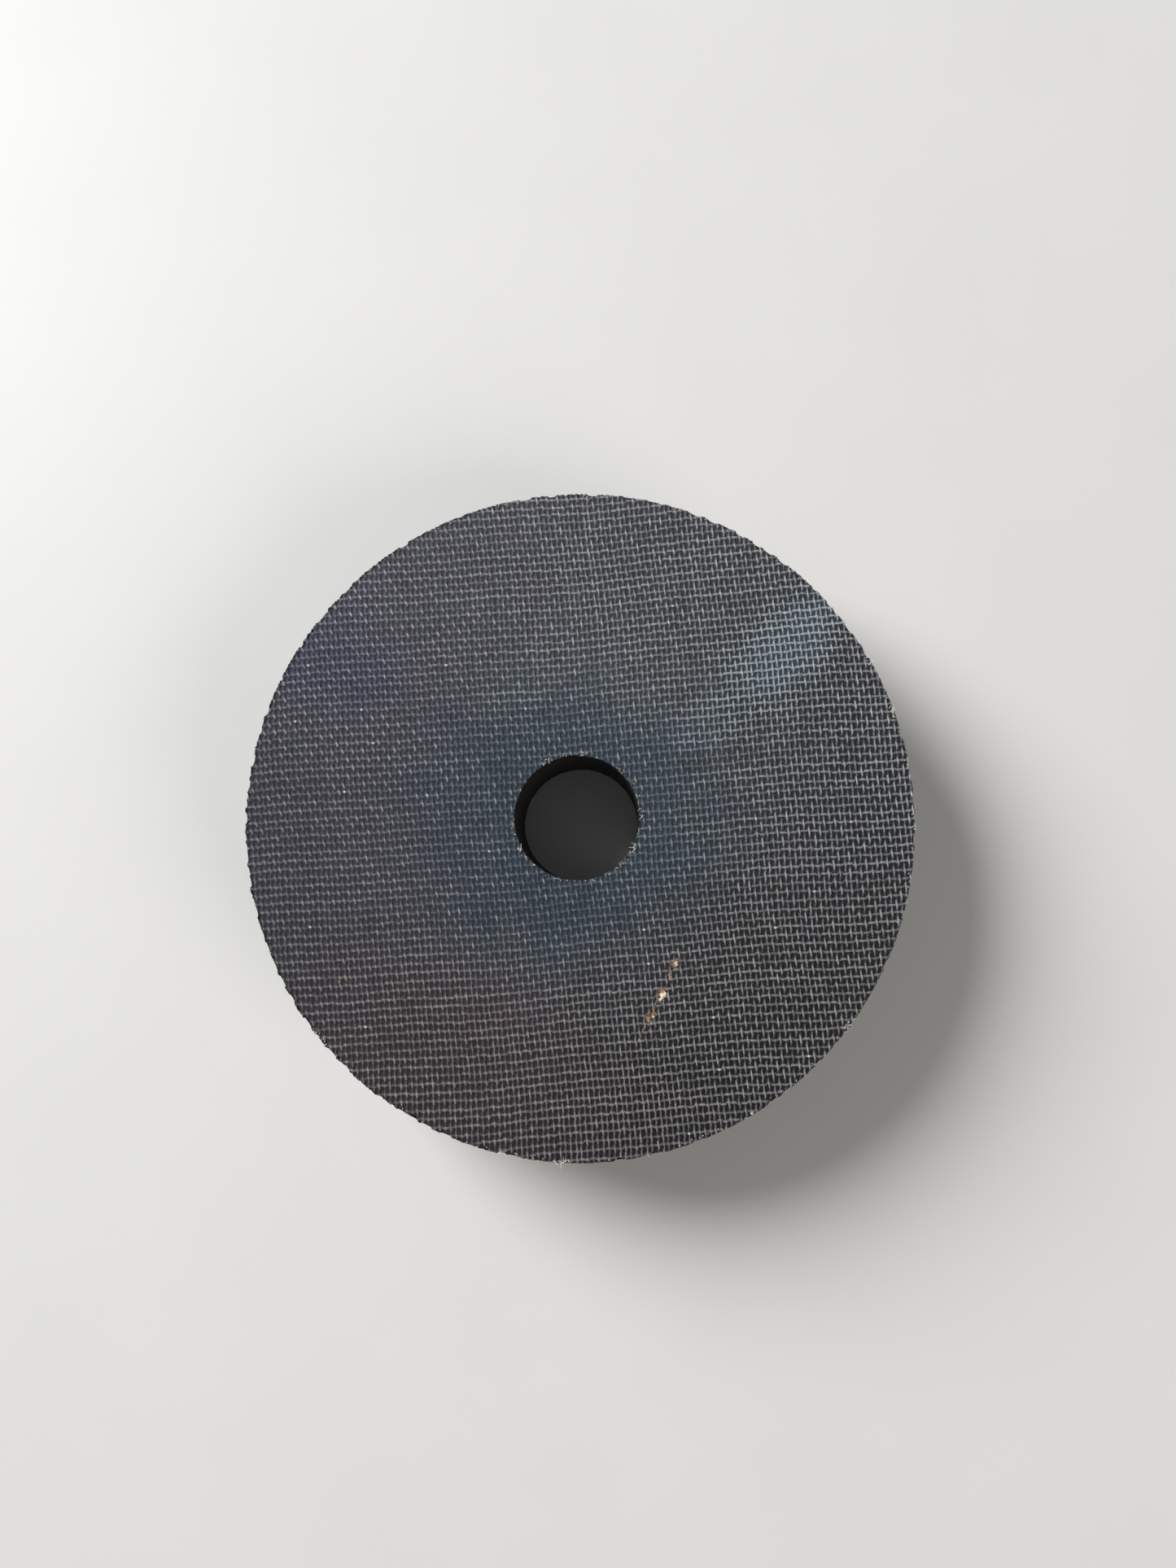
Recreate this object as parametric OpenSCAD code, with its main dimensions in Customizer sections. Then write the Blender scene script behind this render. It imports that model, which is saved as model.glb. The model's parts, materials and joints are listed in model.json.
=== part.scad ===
// Canvas laminate disc with a plain centre bore.
// The disc is a stack of woven cotton canvas plies, soaked in phenolic resin and pressed into one
// block. The two face plies show the weave, and the cut edges of all the plies show at the rim and
// in the bore. Units are millimetres.
// The origin is the centre of the bore on the resting face, and +Z runs up along the bore.

/* [Disc] */
// Outside diameter of the turned rim
disc_d = 76; // [40:0.5:150]
// Diameter of the plain centre bore
bore_d = 14.1; // [6:0.1:30]

/* [Plies] */
// Thickness of one resin-bonded canvas ply
ply_t = 0.575; // [0.3:0.005:1.2]
// How many core plies lie between the two face plies
core_plies = 22; // [4:1:56]

/* [Hidden] */
// Facets around the rim and the bore
$fn = 180;

// How far the bore's cutter reaches past each side of a ply
cutter_past = 0.5;

// Plies stacked up to the top, both face plies counted
plies = core_plies + 2;

// Which face of the stack a ply is on, counted from the resting face
bottom_level = 0;
top_level = plies - 1;

// Resin-darkened face cloth, and the two tones that core plies take turn about at a cut edge
face_colour = [0.23, 0.20, 0.18];
dark_edge_colour = [0.27, 0.19, 0.13];
light_edge_colour = [0.40, 0.28, 0.18];

function two_digits(number) = str(number < 10 ? "0" : "", number);
function core_name(level) = str("core_ply_", two_digits(level));

// One ply: a ring of canvas at its level in the stack, bored and turned with the others.
module ply(level) {
    translate([0, 0, level * ply_t])
        difference() {
            cylinder(d = disc_d, h = ply_t);
            translate([0, 0, -cutter_past])
                cylinder(d = bore_d, h = ply_t + 2 * cutter_past);
        }
}

// The ply that the disc rests on.
module bottom_face_ply() {
    color(face_colour)
        ply(bottom_level);
}

// A ply inside the stack, which shows only as a line at the rim and in the bore.
module core_ply(level) {
    color(level % 2 == 0 ? dark_edge_colour : light_edge_colour)
        ply(level);
}

// The ply whose weave shows on the upper face.
module top_face_ply() {
    color(face_colour)
        ply(top_level);
}

bottom_face_ply();
for (level = [1 : core_plies])
    core_ply(level);
top_face_ply();
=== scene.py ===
import json
from math import cos, pi, radians, sin, tau

import bpy
import numpy as np
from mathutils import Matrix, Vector


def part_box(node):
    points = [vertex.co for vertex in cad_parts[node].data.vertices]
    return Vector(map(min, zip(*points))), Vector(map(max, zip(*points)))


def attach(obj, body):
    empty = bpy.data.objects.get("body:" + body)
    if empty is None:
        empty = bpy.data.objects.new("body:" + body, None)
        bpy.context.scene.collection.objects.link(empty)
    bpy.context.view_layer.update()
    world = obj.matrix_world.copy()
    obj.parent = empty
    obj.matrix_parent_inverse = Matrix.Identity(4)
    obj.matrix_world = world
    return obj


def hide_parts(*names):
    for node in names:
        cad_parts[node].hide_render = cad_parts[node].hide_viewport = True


# The looks of a disc turned and bored from canvas laminate. The two face plies get their woven
# relief, the core plies their cut edges, and loose fibres stand at the rims. Lengths are in metres.

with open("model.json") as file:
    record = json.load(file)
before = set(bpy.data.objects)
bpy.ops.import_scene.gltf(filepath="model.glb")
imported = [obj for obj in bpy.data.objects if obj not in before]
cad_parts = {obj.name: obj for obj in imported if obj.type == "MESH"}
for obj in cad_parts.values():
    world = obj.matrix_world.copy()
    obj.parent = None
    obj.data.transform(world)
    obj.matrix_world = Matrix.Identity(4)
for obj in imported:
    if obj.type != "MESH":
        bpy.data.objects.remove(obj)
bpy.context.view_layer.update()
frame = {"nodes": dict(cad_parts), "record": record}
MM = 0.001

# ---- Sizes that the frame gives ------------------------------------------------------------------

top_low, top_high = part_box("top_face_ply")
bottom_low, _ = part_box("bottom_face_ply")
bore_mount = next(m for m in frame["record"]["mounts"] if m["name"] == "bore")
core_names = sorted(name for name in frame["nodes"] if name.startswith("core_ply"))

RIM_R = top_high.y
BORE_R = bore_mount["dims"]["r_mm"] * MM
TOP_Z = top_high.z
BOTTOM_Z = bottom_low.z
PLY_T = top_high.z - top_low.z
TOP_LEVEL = len(core_names) + 1

# ---- The canvas ----------------------------------------------------------------------------------

# How far apart the yarns lie and how they slope on the disc. A plain weave repeats after two yarns.
WARP_PITCH = 0.589 * MM
WEFT_PITCH = 0.94 * MM
WARP_LEAN = radians(5.3)
WEFT_RISE = radians(4.2)
WEAVE_REPEAT = 2
ALONG_WEFT = np.array([cos(WEFT_RISE), sin(WEFT_RISE)])
ALONG_WARP = np.array([-sin(WARP_LEAN), cos(WARP_LEAN)])

# The relief from the deepest pit to the highest crest, and how far each yarn's foot lies from its
# middle, in pitches. The mesh has a vertex at each yarn's foot and crest, and midway between wefts.
# Its grid reaches past the rim, in radii, so that the sloping cloth covers the disc.
RELIEF = 0.13 * MM
WARP_FOOT = 0.27
WEFT_FOOT = 0.20
WARP_COLUMNS = (-WARP_FOOT, 0.0, WARP_FOOT)
WEFT_ROWS = (-WEFT_FOOT, 0.0, WEFT_FOOT, 0.5)
GRID_REACH = 1.12

# Mean height of each yarn's crest, and how far it swings as the yarn dives, as shares of the relief.
WARP_CREST = 0.68
WARP_SWING = 0.32
WEFT_CREST = 0.60
WEFT_SWING = 0.25

# How unevenly the yarns are spaced, and how far single yarns and the whole cloth stray from
# straight lines, as (size, wavelength) pairs. The cloth's waves run a little aslant.
YARN_SPACING = 0.026 * MM
YARN_WANDER = ((0.014 * MM, 9.0 * MM), (0.005 * MM, 3.3 * MM))
CLOTH_WANDER = ((0.22 * MM, 52.0 * MM), (0.08 * MM, 19.0 * MM))
WARP_WAVE_SLANT = 0.3
WEFT_WAVE_SLANT = -0.2

# ---- The cut edges -------------------------------------------------------------------------------

# A core ply's ring has EDGE_STEPS corners, a groove along each seam and fine tool marks, as a share
# of the groove. The cloth's crimp waves each seam, and each ply's weave is shifted from the last.
EDGE_STEPS = 900
PLY_GROOVE = 0.025 * MM
TOOL_MARKS = 0.4
PLY_WAVE = 0.035 * MM
PLY_STAGGER = 0.37

# A face's edge breaks back by up to EDGE_BREAK, least at a crest, and its shoulder drops below the
# face, more under a chip but by no more than a share of the ply.
EDGE_BREAK = 0.16 * MM
CREST_BREAK = 0.1
BREAK_LUCK = (0.2, 1.0)
EDGE_BREAK_DROP = 0.22 * MM
CHIP_DROP = 0.5
MOST_DROP = 0.6

# Along a woven edge each vertex lies at least this much further round than the one before, which
# keeps the ring in order where a strayed yarn doubles back.
LEAST_TURN = radians(0.01)

# Chips along a face's edges: how many, how wide and how deep, how many plies they reach down,
# how much further they eat into the face, and the worn side of the rim with its share of them.
CHIPS = 150
CHIP_HALF_WIDTH = (0.10 * MM, 0.75 * MM)
CHIP_DEPTH = (0.10 * MM, 0.50 * MM)
CHIP_PLIES = 1.25
CHIP_SLOPE = 1.15
WORN_SIDE = radians(-145)
WORN_SPREAD = radians(30)
WORN_SHARE = 0.45

# How worn the bore's edge and the underside's rim are, as shares of the upper rim's wear.
BORE_WEAR = 0.15
UNDERSIDE_WEAR = 0.45

# The angles between faces above which the shading shows a crease.
FACE_CREASE = radians(62)
CORE_CREASE = radians(40)
FIBRE_CREASE = radians(80)

# Where a point lies in its ply, for the materials: 0.5 on the face that looks up and -0.5 on the
# one that looks down. A shoulder lies halfway to the middle.
PLY_TOP = 0.5
SHOULDER_LEVEL = 0.25

# One seed for each thing that is left to chance, so that every run gives the same disc.
WARP_SEED = 11
WEFT_SEED = 12
WARP_WAVE_SEED = 13
WEFT_WAVE_SEED = 14
UPPER_EDGE_SEED = 21
LOWER_EDGE_SEED = 22
RIM_FIBRE_SEED = 31
BORE_FIBRE_SEED = 32
CHIP_SEED = 70
TOOL_MARK_SEED = 100
CORE_WEAVE_SEED = 200


def seeded(seed):
    return np.random.RandomState(seed)


def cloth_axes():
    """The two steps on the disc, in metres, that one warp pitch and one weft pitch take."""
    return WARP_PITCH * ALONG_WEFT, WEFT_PITCH * ALONG_WARP


def disc_to_cloth(x, y):
    """Warp and weft counts of points on the disc, with the cloth's straying left out."""
    steps = np.array(cloth_axes()).T
    u, v = np.linalg.solve(steps, np.array([x, y]))
    return u, v


def wander(yarn, along, spacing, waves, seed):
    """How far each yarn lies sideways of its place in an even grid, at a distance along it."""
    first = int(yarn.min())
    count = int(yarn.max()) - first + 1
    row = (yarn - first).astype(int)
    random = seeded(seed)
    total = random.normal(0, spacing, count)[row]
    for size, wavelength in waves:
        phase = random.uniform(0, tau, count)
        total += size * np.sin(tau * along / wavelength + phase[row])
    return total


def cloth_to_disc(u, v):
    """Where a warp and weft count lies on the disc, with single yarns and the cloth straying."""
    warp_step, weft_step = cloth_axes()
    x = u * warp_step[0] + v * weft_step[0]
    y = u * warp_step[1] + v * weft_step[1]
    whole = np.zeros_like(u)
    warp_shift = wander(np.round(u), v * WEFT_PITCH, YARN_SPACING, YARN_WANDER, WARP_SEED)
    weft_shift = wander(np.round(v), u * WARP_PITCH, YARN_SPACING, YARN_WANDER, WEFT_SEED)
    warp_shift += wander(whole, y + WARP_WAVE_SLANT * x, 0.0, CLOTH_WANDER, WARP_WAVE_SEED)
    weft_shift += wander(whole, x + WEFT_WAVE_SLANT * y, 0.0, CLOTH_WANDER, WEFT_WAVE_SEED)
    x += warp_shift * ALONG_WEFT[0] + weft_shift * ALONG_WARP[0]
    y += warp_shift * ALONG_WEFT[1] + weft_shift * ALONG_WARP[1]
    return x, y


def crown(distance, foot):
    """Round profile across a yarn: 1 on its crest, 0 from its foot outwards."""
    return np.sqrt(np.clip(1 - (distance / foot) ** 2, 0, 1))


def relief_height(u, v):
    """Height of the pressed cloth over its resin floor: 0 in a pit, 1 on a warp crown."""
    warp = np.round(u)
    weft = np.round(v)
    warp_over = np.cos(pi * (v + warp))
    weft_over = -np.cos(pi * (u + weft))
    warp_height = (WARP_CREST + WARP_SWING * warp_over) * crown(u - warp, WARP_FOOT)
    weft_height = (WEFT_CREST + WEFT_SWING * weft_over) * crown(v - weft, WEFT_FOOT)
    return np.maximum(warp_height, weft_height)


def chipped(angle, radius, seed):
    """How deep the edge is chipped at each angle, in metres."""
    random = seeded(seed)
    worn = random.normal(WORN_SIDE, WORN_SPREAD, int(CHIPS * WORN_SHARE))
    anywhere = random.uniform(-pi, pi, CHIPS - len(worn))
    depth = np.zeros_like(angle)
    for middle in np.concatenate([worn, anywhere]):
        half_width = random.uniform(*CHIP_HALF_WIDTH)
        deepest = random.uniform(*CHIP_DEPTH) * half_width / CHIP_HALF_WIDTH[1]
        away = np.abs((angle - middle + pi) % tau - pi) * radius / half_width
        depth = np.maximum(depth, deepest * np.clip(1 - away**2, 0, 1))
    return depth


def ply_seam(level, x, y):
    """Height of a ply's lower seam: flat on the disc's two faces, and waved by the crimp inside."""
    if level in (0, TOP_LEVEL + 1):
        return np.full_like(x, BOTTOM_Z + level * PLY_T)
    u, v = disc_to_cloth(x, y)
    shift = PLY_STAGGER * level
    crimp = np.sin(tau * (u / WEAVE_REPEAT + shift)) + np.sin(tau * (v / WEAVE_REPEAT - shift))
    return BOTTOM_Z + level * PLY_T + PLY_WAVE / 2 * crimp


def link(name, mesh):
    piece = bpy.data.objects.new(name, mesh)
    bpy.context.scene.collection.objects.link(piece)
    return piece


def set_attribute(mesh, name, vectors):
    layer = mesh.attributes.new(name, "FLOAT_VECTOR", "POINT")
    layer.data.foreach_set("vector", np.asarray(vectors, np.float32).ravel())


def smooth(mesh, crease):
    """Smooth shading, but for edges that turn by more than the crease angle."""
    mesh.update()
    mesh.shade_smooth()
    mesh.set_sharp_from_angle(angle=crease)


# ---- Woven face plies ----------------------------------------------------------------------------


def cloth_grid():
    """The grid of cloth counts that the woven mesh has a vertex at, as two 2D arrays."""
    half_u = int(RIM_R * GRID_REACH / WARP_PITCH) + 1
    half_v = int(RIM_R * GRID_REACH / WEFT_PITCH) + 1
    u = (np.arange(-half_u, half_u + 1)[:, None] + np.array(WARP_COLUMNS)).ravel()
    v = (np.arange(-half_v, half_v + 1)[:, None] + np.array(WEFT_ROWS)).ravel()
    return np.meshgrid(u, v, indexing="ij")


def grid_cells(shape):
    """Corner indices of every cell of a grid with that shape, anticlockwise."""
    index = np.arange(shape[0] * shape[1]).reshape(shape)
    corners = index[:-1, :-1], index[1:, :-1], index[1:, 1:], index[:-1, 1:]
    return np.stack([c.ravel() for c in corners], axis=1)


def open_loops(cells):
    """The loops of edges that only one cell uses, each as its vertices in walking order."""
    sides = np.concatenate([cells[:, [k, (k + 1) % 4]] for k in range(4)])
    _, first, count = np.unique(np.sort(sides, axis=1), axis=0, return_index=True, return_counts=True)
    following = dict(sides[first[count == 1]].tolist())
    loops = []
    while following:
        start, here = following.popitem()
        loop = [start]
        while here != start:
            loop.append(here)
            here = following.pop(here)
        loops.append(np.array(loop))
    return loops


def edge_ring(loops, x, y, radius, sign):
    """The loop along one edge, anticlockwise from the -X side, and angles that always rise."""
    loop = min(loops, key=lambda k: abs(np.hypot(x[k], y[k]).mean() - radius))[::sign]
    angle = np.arctan2(y[loop], x[loop])
    start = -angle.argmin()
    rise = LEAST_TURN * np.arange(len(loop))
    return np.roll(loop, start), np.maximum.accumulate(np.roll(angle, start) - rise) + rise


def band(upper, lower):
    """Quads that join two rings of the same length."""
    return np.stack([upper, lower, np.roll(lower, -1), np.roll(upper, -1)], axis=1)


def cut_cloth(face_up, seed):
    """The cloth within a face's frayed outline: its vertices' counts, places, heights and its cells."""
    u, v = cloth_grid()
    x, y = cloth_to_disc(u, v)
    cells = grid_cells(u.shape)
    u, v, x, y = u.ravel(), v.ravel(), x.ravel(), y.ravel()
    r = np.hypot(x, y)
    height = relief_height(u, v)
    frayed = EDGE_BREAK * (1 + CREST_BREAK - height) * seeded(seed).uniform(*BREAK_LUCK, len(r)) ** 2
    frayed += CHIP_SLOPE * chipped(np.arctan2(y, x), r, CHIP_SEED if face_up else seed)
    outer = RIM_R - frayed * (1.0 if face_up else UNDERSIDE_WEAR)
    inner = BORE_R + frayed * BORE_WEAR
    inside = (r < outer) & (r > inner)
    used, cells = np.unique(cells[inside[cells].any(axis=1)], return_inverse=True)
    pull = (np.clip(r, inner, outer) / r)[used]
    return u[used], v[used], x[used] * pull, y[used] * pull, height[used], cells.reshape(-1, 4)


def woven_ply(name, level, face_up, seed):
    """A face ply: woven relief on its free side, flat on the side that meets the next ply."""
    u, v, x, y, height, cells = cut_cloth(face_up, seed)
    out = 1 if face_up else -1
    depth = RELIEF * (1 - height)
    if face_up:
        depth += GOUGE_DEPTH * gouged(x, y)
    face_z = TOP_Z if face_up else BOTTOM_Z
    points = np.stack([x, y, face_z - out * depth], axis=1)
    cloth = np.stack([u, v, np.full_like(u, out * PLY_TOP)], axis=1)

    loops = open_loops(cells)
    faces = [cells]
    seat = []
    rim_wear = 1.0 if face_up else UNDERSIDE_WEAR
    for radius, sign, wear in ((RIM_R, 1, rim_wear), (BORE_R, -1, BORE_WEAR)):
        ring, angle = edge_ring(loops, x, y, radius, sign)
        chips = wear * chipped(angle, radius, CHIP_SEED if face_up else seed)
        wall_r = radius - sign * chips
        wall_x = wall_r * np.cos(angle)
        wall_y = wall_r * np.sin(angle)
        drop = np.minimum(EDGE_BREAK_DROP + CHIP_DROP * chips, MOST_DROP * PLY_T)
        shoulder = points[ring, 2] - out * drop
        seam = ply_seam(level if face_up else level + 1, wall_x, wall_y)
        walls = []
        for z, w in ((shoulder, out * SHOULDER_LEVEL), (seam, -out * PLY_TOP)):
            walls.append(len(points) + np.arange(len(ring)))
            points = np.concatenate([points, np.stack([wall_x, wall_y, z], axis=1)])
            wall_cloth = np.stack([u[ring], v[ring], np.full(len(ring), w)], axis=1)
            cloth = np.concatenate([cloth, wall_cloth])
        turn = slice(None) if sign > 0 else slice(None, None, -1)
        faces.append(band(ring[turn], walls[0][turn]))
        faces.append(band(walls[0][turn], walls[1][turn]))
        seat.append(walls[1])
    if not face_up:
        faces = [f[:, ::-1] for f in faces]

    quads = np.concatenate(faces).tolist()
    mesh = bpy.data.meshes.new(name)
    mesh.from_pydata(points.tolist(), [], quads + seat_annulus(points, *seat, face_up))
    set_attribute(mesh, "cloth", cloth)
    is_cut = np.arange(len(mesh.polygons)) >= len(cells)
    mesh.polygons.foreach_set("material_index", is_cut.astype(int))
    smooth(mesh, FACE_CREASE)
    return link(name, mesh)


def seat_annulus(points, outer, inner, face_up):
    """Triangles between two rings that are each in order of angle, but differ in length."""
    outer_angle = np.arctan2(points[outer, 1], points[outer, 0])
    inner_angle = np.arctan2(points[inner, 1], points[inner, 0])
    faces = []
    outer_step = 0
    inner_step = 0
    while outer_step < len(outer) or inner_step < len(inner):
        outer_turn = tau if outer_step + 1 >= len(outer) else 0
        inner_turn = tau if inner_step + 1 >= len(inner) else 0
        next_outer = outer_angle[(outer_step + 1) % len(outer)] + outer_turn
        next_inner = inner_angle[(inner_step + 1) % len(inner)] + inner_turn
        here = outer[outer_step % len(outer)], inner[inner_step % len(inner)]
        if inner_step >= len(inner) or (outer_step < len(outer) and next_outer <= next_inner):
            third = outer[(outer_step + 1) % len(outer)]
            outer_step += 1
        else:
            third = inner[(inner_step + 1) % len(inner)]
            inner_step += 1
        face = (*here, third)
        faces.append([int(k) for k in (face if face_up else face[::-1])])
    return faces


# ---- Core plies ----------------------------------------------------------------------------------


def core_ply(name, level):
    """A ring with a fine groove along each seam, at the rim and in the bore."""
    angle = np.linspace(0, tau, EDGE_STEPS, endpoint=False)
    marks = seeded(TOOL_MARK_SEED + level).uniform(0, TOOL_MARKS * PLY_GROOVE, (2, EDGE_STEPS))
    chip_share = max(0, 1 - (TOP_LEVEL - level) / CHIP_PLIES)
    outer = RIM_R - chip_share * chipped(angle, RIM_R, CHIP_SEED)
    outline = (
        (outer - PLY_GROOVE, 0.0),
        (outer - marks[0], 0.5),
        (outer - PLY_GROOVE, 1.0),
        (BORE_R + PLY_GROOVE, 1.0),
        (BORE_R + marks[1], 0.5),
        (BORE_R + PLY_GROOVE, 0.0),
    )
    shift = seeded(CORE_WEAVE_SEED + level).uniform(0, WEAVE_REPEAT, 2)
    points = []
    cloth = []
    for radius, rise in outline:
        x = radius * np.cos(angle)
        y = radius * np.sin(angle)
        z = (1 - rise) * ply_seam(level, x, y) + rise * ply_seam(level + 1, x, y)
        u, v = disc_to_cloth(x, y)
        points.append(np.stack([x, y, z], axis=1))
        cloth.append(np.stack([u + shift[0], v + shift[1], np.full_like(u, rise - PLY_TOP)], axis=1))
    rings = np.arange(len(outline) * EDGE_STEPS).reshape(len(outline), EDGE_STEPS)
    quads = np.concatenate([band(rings[(k + 1) % len(rings)], rings[k]) for k in range(len(rings))])
    mesh = bpy.data.meshes.new(name)
    mesh.from_pydata(np.concatenate(points).tolist(), [], quads.tolist())
    set_attribute(mesh, "cloth", np.concatenate(cloth))
    smooth(mesh, CORE_CREASE)
    return link(name, mesh)


# ---- The gouge in the upper face -----------------------------------------------------------------

# Each chip in millimetres: its middle, and its half length along the scratch and half width across.
GOUGE_CHIPS = (
    ((10.9, -16.3), (1.00, 0.30)),
    ((10.3, -17.8), (0.70, 0.14)),
    ((9.35, -19.7), (1.00, 0.54)),
    ((8.75, -21.1), (0.55, 0.11)),
    ((8.15, -22.3), (0.80, 0.42)),
    ((7.25, -23.8), (1.20, 0.08)),
    ((-26.8, -18.3), (0.24, 0.20)),
    ((-25.8, -18.1), (0.22, 0.18)),
)
GOUGE_HEADING = radians(66)
GOUGE_DEPTH = 0.16 * MM


def reach(x, y, middle, halves, heading):
    """How far out of an ellipse a point lies: 0 in its middle and 1 on its outline."""
    dx = x - middle[0]
    dy = y - middle[1]
    along = (dx * cos(heading) + dy * sin(heading)) / halves[0]
    across = (dy * cos(heading) - dx * sin(heading)) / halves[1]
    return along * along + across * across


def gouged(x, y):
    """How deep the skin is torn at points of the face, from 0 to 1."""
    mask = np.zeros_like(x)
    for middle, halves in GOUGE_CHIPS:
        mask = np.maximum(mask, 1 - reach(x / MM, y / MM, middle, halves, GOUGE_HEADING))
    return mask


# ---- Loose fibres --------------------------------------------------------------------------------

# Tufts along the upper face's edges: heading in degrees and how many fibres.
RIM_TUFTS = ((-102, 9), (-92, 8), (-37, 6), (-60, 3), (19, 5), (28, 5), (73, 4), (88, 4), (-140, 4))
BORE_TUFTS = ((-31, 7), (-150, 4), (121, 4), (80, 3), (10, 3))
TUFT_SPREAD = 1.1 * MM
TUFT_LENGTH = (0.25 * MM, 0.95 * MM)

# Short stubs all round an edge: how many at the rim, the least on any edge, and how long.
STUBS = 150
LEAST_STUBS = 24
STUB_LENGTH = (0.10 * MM, 0.34 * MM)

# Where a fibre is rooted, inwards of the edge and below the face, and where it sets off to.
ROOT_INSET = (0.10 * MM, 0.50 * MM)
ROOT_DEPTH = (0.02 * MM, 0.10 * MM)
OUTWARDS = (-0.2, 1.0)
SIDEWAYS_SPREAD = 0.7
UPWARDS = (0.05, 0.5)

# One fibre: thickness, how much of it the taper takes, sides, steps, and how it curls per step. Its
# sides are found from a direction that no fibre runs along.
FIBRE_R = 0.045 * MM
FIBRE_TAPER = 0.8
FIBRE_SIDES = 5
FIBRE_STEPS = 6
FIBRE_CURL = 0.225
SIDE_REFERENCE = (0.3, 0.2, 0.93)


def fibre(start, heading, length, random):
    """Rings of a thin tapered fibre that sets off along a heading and curls."""
    path = [np.array(start)]
    direction = np.array(heading) / np.linalg.norm(heading)
    curl = random.normal(0, FIBRE_CURL, 3)
    for _ in range(FIBRE_STEPS):
        path.append(path[-1] + direction * length / FIBRE_STEPS)
        direction = direction + curl
        direction /= np.linalg.norm(direction)
    side = np.cross(direction, SIDE_REFERENCE)
    side /= np.linalg.norm(side)
    top = np.cross(side, direction)
    turns = np.linspace(0, tau, FIBRE_SIDES, endpoint=False)
    rings = []
    for step, middle in enumerate(path):
        thickness = FIBRE_R * (1 - FIBRE_TAPER * step / FIBRE_STEPS)
        rings.append([middle + thickness * (cos(t) * side + sin(t) * top) for t in turns])
    return rings


def fibre_faces(first):
    """The sides and two ends of a fibre whose first vertex has that index."""
    faces = []
    for step in range(FIBRE_STEPS):
        low = first + step * FIBRE_SIDES
        high = low + FIBRE_SIDES
        for k in range(FIBRE_SIDES):
            after = (k + 1) % FIBRE_SIDES
            faces.append((low + k, high + k, high + after, low + after))
    last = first + FIBRE_STEPS * FIBRE_SIDES
    faces.append(tuple(first + k for k in range(FIBRE_SIDES)))
    faces.append(tuple(last + k for k in reversed(range(FIBRE_SIDES))))
    return faces


def loose_fibres(name, radius, sign, tufts, seed):
    """Tufts and short stubs of torn yarn along one edge of the upper face; sign is 1 at the rim."""
    random = seeded(seed)
    roots = []
    for heading, count in tufts:
        for stray in random.normal(0, TUFT_SPREAD / 2, count):
            roots.append((radians(heading) + stray / radius, random.uniform(*TUFT_LENGTH)))
    stubs = int(STUBS * radius / RIM_R) + LEAST_STUBS
    for angle in random.uniform(-pi, pi, stubs):
        roots.append((angle, random.uniform(*STUB_LENGTH)))
    points = []
    faces = []
    for angle, length in roots:
        outwards = np.array([cos(angle), sin(angle), 0.0]) * sign
        sideways = np.array([-sin(angle), cos(angle), 0.0])
        root_r = radius - sign * random.uniform(*ROOT_INSET)
        start = (root_r * cos(angle), root_r * sin(angle), TOP_Z - random.uniform(*ROOT_DEPTH))
        heading = outwards * random.uniform(*OUTWARDS) + sideways * random.normal(0, SIDEWAYS_SPREAD)
        heading = heading + np.array([0, 0, random.uniform(*UPWARDS)])
        faces.extend(fibre_faces(len(points)))
        for ring in fibre(start, heading, length, random):
            points.extend(ring)
    mesh = bpy.data.meshes.new(name)
    mesh.from_pydata([tuple(p) for p in points], [], faces)
    smooth(mesh, FIBRE_CREASE)
    return link(name, mesh)


# ---- Node graphs ---------------------------------------------------------------------------------


class Wire:
    """One value in a material's node graph, for use in ordinary arithmetic."""

    def __init__(self, tree, socket):
        self.tree = tree
        self.socket = socket

    def math(self, operation, *others):
        node = self.tree.nodes.new("ShaderNodeMath")
        node.operation = operation
        for slot, value in zip(node.inputs, (self, *others)):
            plug(self.tree, value, slot)
        return Wire(self.tree, node.outputs[0])

    def __add__(self, other):
        return self.math("ADD", other)

    def __radd__(self, other):
        return self.math("ADD", other)

    def __sub__(self, other):
        return self.math("SUBTRACT", other)

    def __rsub__(self, other):
        return (self * -1) + other

    def __mul__(self, other):
        return self.math("MULTIPLY", other)

    def __truediv__(self, other):
        return self.math("DIVIDE", other)

    def size(self):
        return self.math("ABSOLUTE")

    def nearest(self):
        return self.math("ROUND")

    def cosine(self):
        return self.math("COSINE")

    def power(self, exponent):
        return self.math("POWER", exponent)

    def larger(self, other):
        return self.math("MAXIMUM", other)

    def span(self, low, high):
        """low where this is 0 and high where it is 1."""
        return self * (high - low) + low

    def ramp(self, start, end):
        """0 at start, 1 at end, with a smooth step between; start may be the larger."""
        node = self.tree.nodes.new("ShaderNodeMapRange")
        node.interpolation_type = "SMOOTHSTEP"
        plug(self.tree, self, node.inputs["Value"])
        plug(self.tree, start, node.inputs["From Min"])
        plug(self.tree, end, node.inputs["From Max"])
        return Wire(self.tree, node.outputs["Result"])


def plug(tree, value, slot):
    """Joins a wire to a socket, or sets the socket to a plain value."""
    if isinstance(value, Wire):
        tree.links.new(value.socket, slot)
    else:
        slot.default_value = value


def new_material(name):
    material = bpy.data.materials.new(name)
    material.use_nodes = True
    return material, material.node_tree, material.node_tree.nodes["Principled BSDF"]


def attribute(tree, name):
    node = tree.nodes.new("ShaderNodeAttribute")
    node.attribute_name = name
    return Wire(tree, node.outputs["Vector"])


def split(tree, vector):
    node = tree.nodes.new("ShaderNodeSeparateXYZ")
    plug(tree, vector, node.inputs[0])
    return [Wire(tree, out) for out in node.outputs]


def join(tree, x, y, z=0.0):
    node = tree.nodes.new("ShaderNodeCombineXYZ")
    for value, slot in zip((x, y, z), node.inputs):
        plug(tree, value, slot)
    return Wire(tree, node.outputs[0])


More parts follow.
